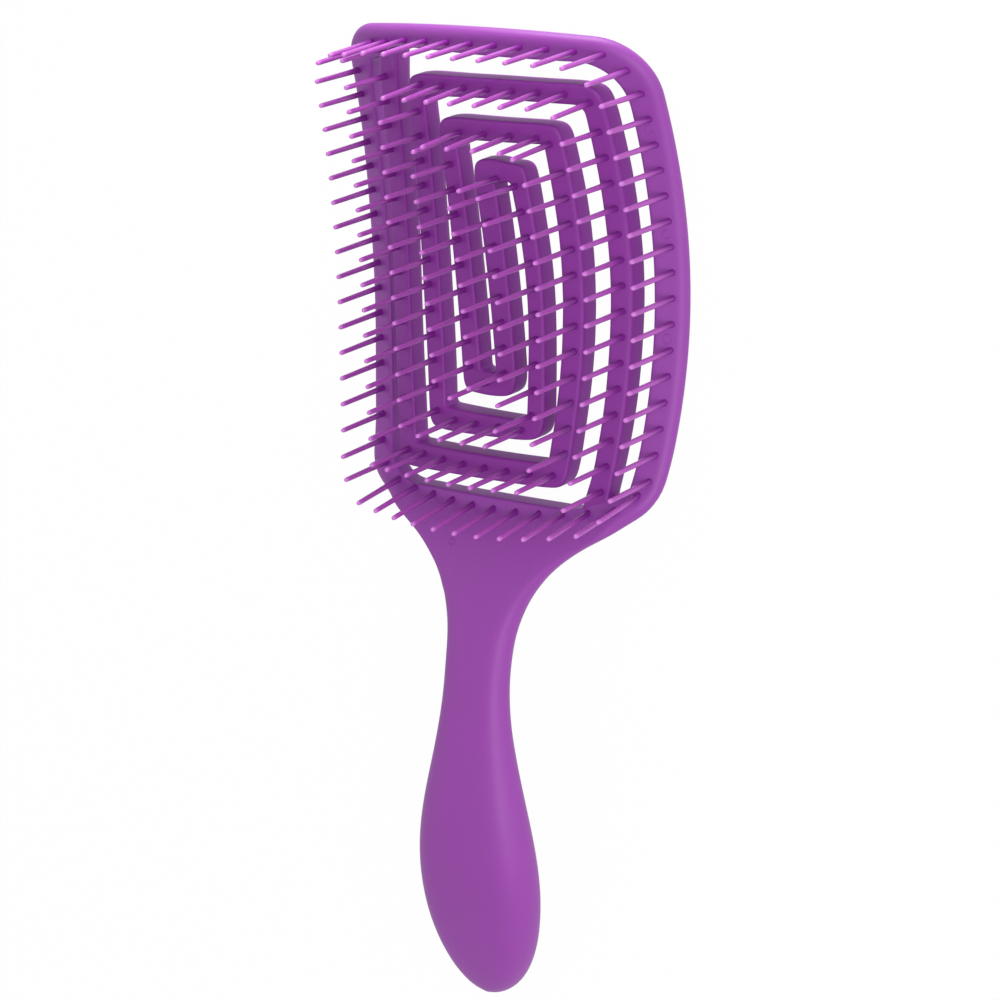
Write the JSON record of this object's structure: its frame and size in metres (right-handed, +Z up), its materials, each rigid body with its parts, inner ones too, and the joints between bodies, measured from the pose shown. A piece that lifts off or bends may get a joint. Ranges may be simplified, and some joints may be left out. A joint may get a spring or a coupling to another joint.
{
  "type": "detangling brush",
  "caption": "Vented paddle brush with a curved open head, one long folded flexing strip carrying round-tipped pins, and a swept handle.",
  "frame": {"origin": "centre of the footprint of the brush lying on its back, on the surface it lies on", "axes": "+Z up along the pins' general direction, +Y from the handle to the top of the head, +X to the right across the head with the pins up"},
  "size_m": [0.0947, 0.241, 0.0456],
  "materials": {
    "soft_touch_body": "soft matt",
    "strip": "satin",
    "pins": "satin"
  },
  "bodies": {
    "root": {"outer_frame": "soft_touch_body", "neck": "soft_touch_body", "grip": "soft_touch_body", "flex_arm_right": "strip", "inner_arm_right": "strip", "centre_bar": "strip", "inner_arm_left": "strip", "flex_arm_left": "strip", "pins_left_rim": "pins", "pins_right_rim": "pins", "pins_top_rim": "pins", "pins_bottom_rim": "pins", "pins_flex_arm_right": "pins", "pins_inner_arm_right": "pins", "pins_centre_bar": "pins", "pins_inner_arm_left": "pins", "pins_flex_arm_left": "pins"}
  },
  "joints": []
}
